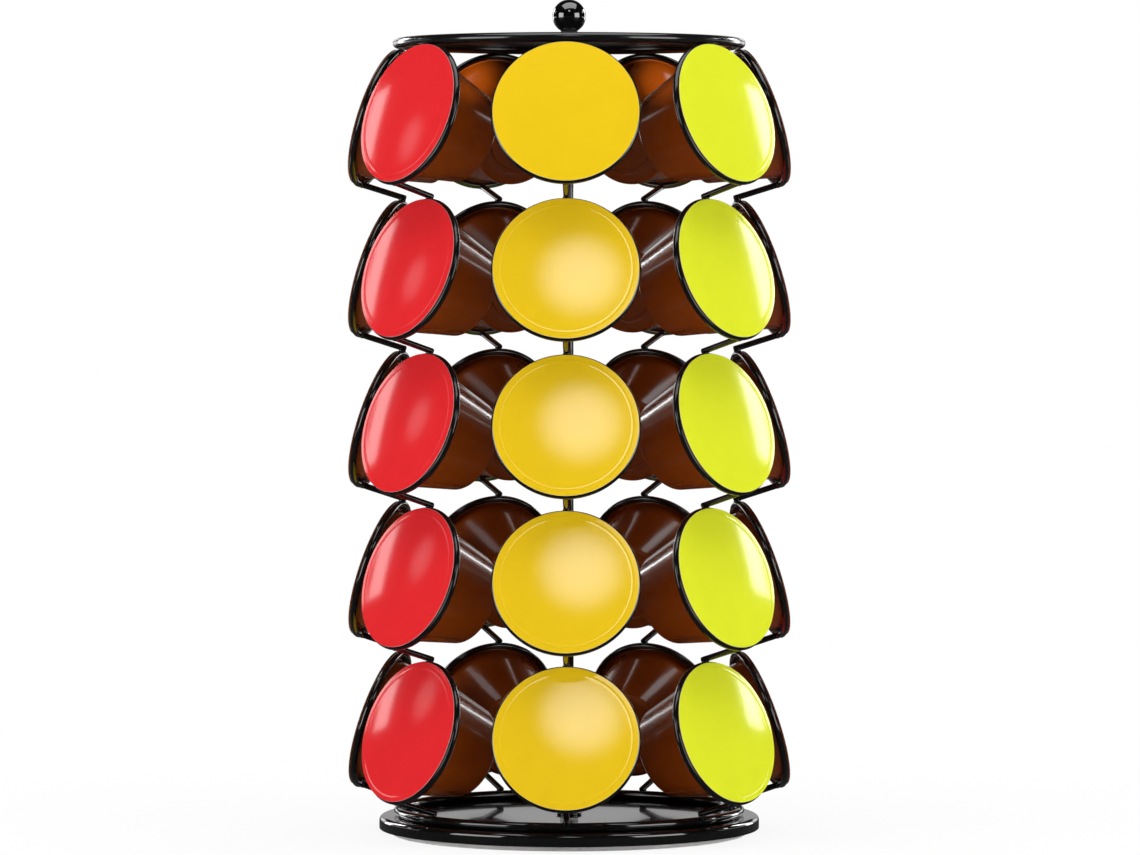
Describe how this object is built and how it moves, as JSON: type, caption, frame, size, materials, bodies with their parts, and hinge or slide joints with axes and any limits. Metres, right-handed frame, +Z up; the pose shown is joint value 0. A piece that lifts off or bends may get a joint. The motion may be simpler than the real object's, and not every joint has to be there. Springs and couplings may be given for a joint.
{
  "type": "coffee capsule dispenser",
  "caption": "Round rotating wire carousel that stores coffee capsules in tilted rings on a turntable base, with a ball knob on top.",
  "frame": {"origin": "centre of the pad's underside, on the spindle's axis, at table level", "axes": "+Z up along the spindle, -Y out of the front column of capsules, +X to the right seen from the front"},
  "size_m": [0.169, 0.1673, 0.3179],
  "materials": {
    "foam": "matte",
    "pale_plastic": "satin",
    "nylon": "satin",
    "steel": "satin",
    "black_plastic": "gloss",
    "black_nut": "gloss",
    "black_wire": "gloss",
    "black_plate": "gloss",
    "black_knob": "gloss",
    "capsule_brown": "gloss",
    "capsule_yellow": "gloss",
    "capsule_lime": "gloss",
    "capsule_red": "gloss"
  },
  "bodies": {
    "base": {"non_slip_pad": "foam", "foot_plate": "pale_plastic", "pivot_bush": "nylon", "lower_race": "steel"},
    "ball_set": {"ball_cage": "nylon", "bearing_balls": "steel"},
    "carousel": {"base_disc": "black_plastic", "upper_race": "steel", "retaining_washer": "steel", "retaining_clip": "steel", "lock_nut": "steel", "foot_nut": "black_nut", "centre_post": "black_wire", "base_ring": "black_wire", "top_plate": "black_plate", "top_washer": "steel", "knob": "black_knob", "column_1": "black_wire", "column_2": "black_wire", "column_3": "black_wire", "column_4": "black_wire", "column_5": "black_wire", "column_6": "black_wire", "column_7": "black_wire"},
    "capsule_column_1_tier_1": {"capsule_column_1_tier_1": "capsule_yellow"},
    "capsule_column_1_tier_2": {"capsule_column_1_tier_2": "capsule_yellow"},
    "capsule_column_1_tier_3": {"capsule_column_1_tier_3": "capsule_yellow"},
    "capsule_column_1_tier_4": {"capsule_column_1_tier_4": "capsule_yellow"},
    "capsule_column_1_tier_5": {"capsule_column_1_tier_5": "capsule_yellow"},
    "capsule_column_2_tier_1": {"capsule_column_2_tier_1": "capsule_lime"},
    "capsule_column_2_tier_2": {"capsule_column_2_tier_2": "capsule_lime"},
    "capsule_column_2_tier_3": {"capsule_column_2_tier_3": "capsule_lime"},
    "capsule_column_2_tier_4": {"capsule_column_2_tier_4": "capsule_lime"},
    "capsule_column_2_tier_5": {"capsule_column_2_tier_5": "capsule_lime"},
    "capsule_column_3_tier_1": {"capsule_column_3_tier_1": "capsule_red"},
    "capsule_column_3_tier_2": {"capsule_column_3_tier_2": "capsule_red"},
    "capsule_column_3_tier_3": {"capsule_column_3_tier_3": "capsule_red"},
    "capsule_column_3_tier_4": {"capsule_column_3_tier_4": "capsule_red"},
    "capsule_column_3_tier_5": {"capsule_column_3_tier_5": "capsule_red"},
    "capsule_column_4_tier_1": {"capsule_column_4_tier_1": "capsule_yellow"},
    "capsule_column_4_tier_2": {"capsule_column_4_tier_2": "capsule_yellow"},
    "capsule_column_4_tier_3": {"capsule_column_4_tier_3": "capsule_yellow"},
    "capsule_column_4_tier_4": {"capsule_column_4_tier_4": "capsule_yellow"},
    "capsule_column_4_tier_5": {"capsule_column_4_tier_5": "capsule_yellow"},
    "capsule_column_5_tier_1": {"capsule_column_5_tier_1": "capsule_lime"},
    "capsule_column_5_tier_2": {"capsule_column_5_tier_2": "capsule_lime"},
    "capsule_column_5_tier_3": {"capsule_column_5_tier_3": "capsule_lime"},
    "capsule_column_5_tier_4": {"capsule_column_5_tier_4": "capsule_lime"},
    "capsule_column_5_tier_5": {"capsule_column_5_tier_5": "capsule_lime"},
    "capsule_column_6_tier_1": {"capsule_column_6_tier_1": "capsule_yellow"},
    "capsule_column_6_tier_2": {"capsule_column_6_tier_2": "capsule_yellow"},
    "capsule_column_6_tier_3": {"capsule_column_6_tier_3": "capsule_yellow"},
    "capsule_column_6_tier_4": {"capsule_column_6_tier_4": "capsule_yellow"},
    "capsule_column_6_tier_5": {"capsule_column_6_tier_5": "capsule_yellow"},
    "capsule_column_7_tier_1": {"capsule_column_7_tier_1": "capsule_red"},
    "capsule_column_7_tier_2": {"capsule_column_7_tier_2": "capsule_red"},
    "capsule_column_7_tier_3": {"capsule_column_7_tier_3": "capsule_red"},
    "capsule_column_7_tier_4": {"capsule_column_7_tier_4": "capsule_red"},
    "capsule_column_7_tier_5": {"capsule_column_7_tier_5": "capsule_red"}
  },
  "joints": [
    {"name": "carousel_spin", "type": "hinge", "parent": "base", "child": "carousel", "pos_m": [0, 0, 0], "axis": [0, 0, 1], "continuous": true},
    {"name": "ball_set_spin", "type": "hinge", "parent": "base", "child": "ball_set", "pos_m": [0, 0, 0], "axis": [0, 0, 1], "continuous": true},
    {"name": "pull_out_column_1_tier_1", "type": "slide", "parent": "carousel", "child": "capsule_column_1_tier_1", "axis": [0, -0.9848, 0.1736], "range_m": [0, 0.034]},
    {"name": "pull_out_column_1_tier_2", "type": "slide", "parent": "carousel", "child": "capsule_column_1_tier_2", "axis": [0, -0.9848, 0.1736], "range_m": [0, 0.034]},
    {"name": "pull_out_column_1_tier_3", "type": "slide", "parent": "carousel", "child": "capsule_column_1_tier_3", "axis": [0, -0.9848, 0.1736], "range_m": [0, 0.034]},
    {"name": "pull_out_column_1_tier_4", "type": "slide", "parent": "carousel", "child": "capsule_column_1_tier_4", "axis": [0, -0.9848, 0.1736], "range_m": [0, 0.034]},
    {"name": "pull_out_column_1_tier_5", "type": "slide", "parent": "carousel", "child": "capsule_column_1_tier_5", "axis": [0, -0.9848, 0.1736], "range_m": [0, 0.034]},
    {"name": "pull_out_column_2_tier_1", "type": "slide", "parent": "carousel", "child": "capsule_column_2_tier_1", "axis": [0.77, -0.614, 0.1736], "range_m": [0, 0.034]},
    {"name": "pull_out_column_2_tier_2", "type": "slide", "parent": "carousel", "child": "capsule_column_2_tier_2", "axis": [0.77, -0.614, 0.1736], "range_m": [0, 0.034]},
    {"name": "pull_out_column_2_tier_3", "type": "slide", "parent": "carousel", "child": "capsule_column_2_tier_3", "axis": [0.77, -0.614, 0.1736], "range_m": [0, 0.034]},
    {"name": "pull_out_column_2_tier_4", "type": "slide", "parent": "carousel", "child": "capsule_column_2_tier_4", "axis": [0.77, -0.614, 0.1736], "range_m": [0, 0.034]},
    {"name": "pull_out_column_2_tier_5", "type": "slide", "parent": "carousel", "child": "capsule_column_2_tier_5", "axis": [0.77, -0.614, 0.1736], "range_m": [0, 0.034]},
    {"name": "pull_out_column_3_tier_1", "type": "slide", "parent": "carousel", "child": "capsule_column_3_tier_1", "axis": [0.9601, 0.2191, 0.1736], "range_m": [0, 0.034]},
    {"name": "pull_out_column_3_tier_2", "type": "slide", "parent": "carousel", "child": "capsule_column_3_tier_2", "axis": [0.9601, 0.2191, 0.1736], "range_m": [0, 0.034]},
    {"name": "pull_out_column_3_tier_3", "type": "slide", "parent": "carousel", "child": "capsule_column_3_tier_3", "axis": [0.9601, 0.2191, 0.1736], "range_m": [0, 0.034]},
    {"name": "pull_out_column_3_tier_4", "type": "slide", "parent": "carousel", "child": "capsule_column_3_tier_4", "axis": [0.9601, 0.2191, 0.1736], "range_m": [0, 0.034]},
    {"name": "pull_out_column_3_tier_5", "type": "slide", "parent": "carousel", "child": "capsule_column_3_tier_5", "axis": [0.9601, 0.2191, 0.1736], "range_m": [0, 0.034]},
    {"name": "pull_out_column_4_tier_1", "type": "slide", "parent": "carousel", "child": "capsule_column_4_tier_1", "axis": [0.4273, 0.8873, 0.1736], "range_m": [0, 0.034]},
    {"name": "pull_out_column_4_tier_2", "type": "slide", "parent": "carousel", "child": "capsule_column_4_tier_2", "axis": [0.4273, 0.8873, 0.1736], "range_m": [0, 0.034]},
    {"name": "pull_out_column_4_tier_3", "type": "slide", "parent": "carousel", "child": "capsule_column_4_tier_3", "axis": [0.4273, 0.8873, 0.1736], "range_m": [0, 0.034]},
    {"name": "pull_out_column_4_tier_4", "type": "slide", "parent": "carousel", "child": "capsule_column_4_tier_4", "axis": [0.4273, 0.8873, 0.1736], "range_m": [0, 0.034]},
    {"name": "pull_out_column_4_tier_5", "type": "slide", "parent": "carousel", "child": "capsule_column_4_tier_5", "axis": [0.4273, 0.8873, 0.1736], "range_m": [0, 0.034]},
    {"name": "pull_out_column_5_tier_1", "type": "slide", "parent": "carousel", "child": "capsule_column_5_tier_1", "axis": [-0.4273, 0.8873, 0.1736], "range_m": [0, 0.034]},
    {"name": "pull_out_column_5_tier_2", "type": "slide", "parent": "carousel", "child": "capsule_column_5_tier_2", "axis": [-0.4273, 0.8873, 0.1736], "range_m": [0, 0.034]},
    {"name": "pull_out_column_5_tier_3", "type": "slide", "parent": "carousel", "child": "capsule_column_5_tier_3", "axis": [-0.4273, 0.8873, 0.1736], "range_m": [0, 0.034]},
    {"name": "pull_out_column_5_tier_4", "type": "slide", "parent": "carousel", "child": "capsule_column_5_tier_4", "axis": [-0.4273, 0.8873, 0.1736], "range_m": [0, 0.034]},
    {"name": "pull_out_column_5_tier_5", "type": "slide", "parent": "carousel", "child": "capsule_column_5_tier_5", "axis": [-0.4273, 0.8873, 0.1736], "range_m": [0, 0.034]},
    {"name": "pull_out_column_6_tier_1", "type": "slide", "parent": "carousel", "child": "capsule_column_6_tier_1", "axis": [-0.9601, 0.2191, 0.1736], "range_m": [0, 0.034]},
    {"name": "pull_out_column_6_tier_2", "type": "slide", "parent": "carousel", "child": "capsule_column_6_tier_2", "axis": [-0.9601, 0.2191, 0.1736], "range_m": [0, 0.034]},
    {"name": "pull_out_column_6_tier_3", "type": "slide", "parent": "carousel", "child": "capsule_column_6_tier_3", "axis": [-0.9601, 0.2191, 0.1736], "range_m": [0, 0.034]},
    {"name": "pull_out_column_6_tier_4", "type": "slide", "parent": "carousel", "child": "capsule_column_6_tier_4", "axis": [-0.9601, 0.2191, 0.1736], "range_m": [0, 0.034]},
    {"name": "pull_out_column_6_tier_5", "type": "slide", "parent": "carousel", "child": "capsule_column_6_tier_5", "axis": [-0.9601, 0.2191, 0.1736], "range_m": [0, 0.034]},
    {"name": "pull_out_column_7_tier_1", "type": "slide", "parent": "carousel", "child": "capsule_column_7_tier_1", "axis": [-0.77, -0.614, 0.1736], "range_m": [0, 0.034]},
    {"name": "pull_out_column_7_tier_2", "type": "slide", "parent": "carousel", "child": "capsule_column_7_tier_2", "axis": [-0.77, -0.614, 0.1736], "range_m": [0, 0.034]},
    {"name": "pull_out_column_7_tier_3", "type": "slide", "parent": "carousel", "child": "capsule_column_7_tier_3", "axis": [-0.77, -0.614, 0.1736], "range_m": [0, 0.034]},
    {"name": "pull_out_column_7_tier_4", "type": "slide", "parent": "carousel", "child": "capsule_column_7_tier_4", "axis": [-0.77, -0.614, 0.1736], "range_m": [0, 0.034]},
    {"name": "pull_out_column_7_tier_5", "type": "slide", "parent": "carousel", "child": "capsule_column_7_tier_5", "axis": [-0.77, -0.614, 0.1736], "range_m": [0, 0.034]}
  ],
  "couplings": [
    {"joint": "ball_set_spin", "follows": "carousel_spin", "ratio": 0.5}
  ]
}
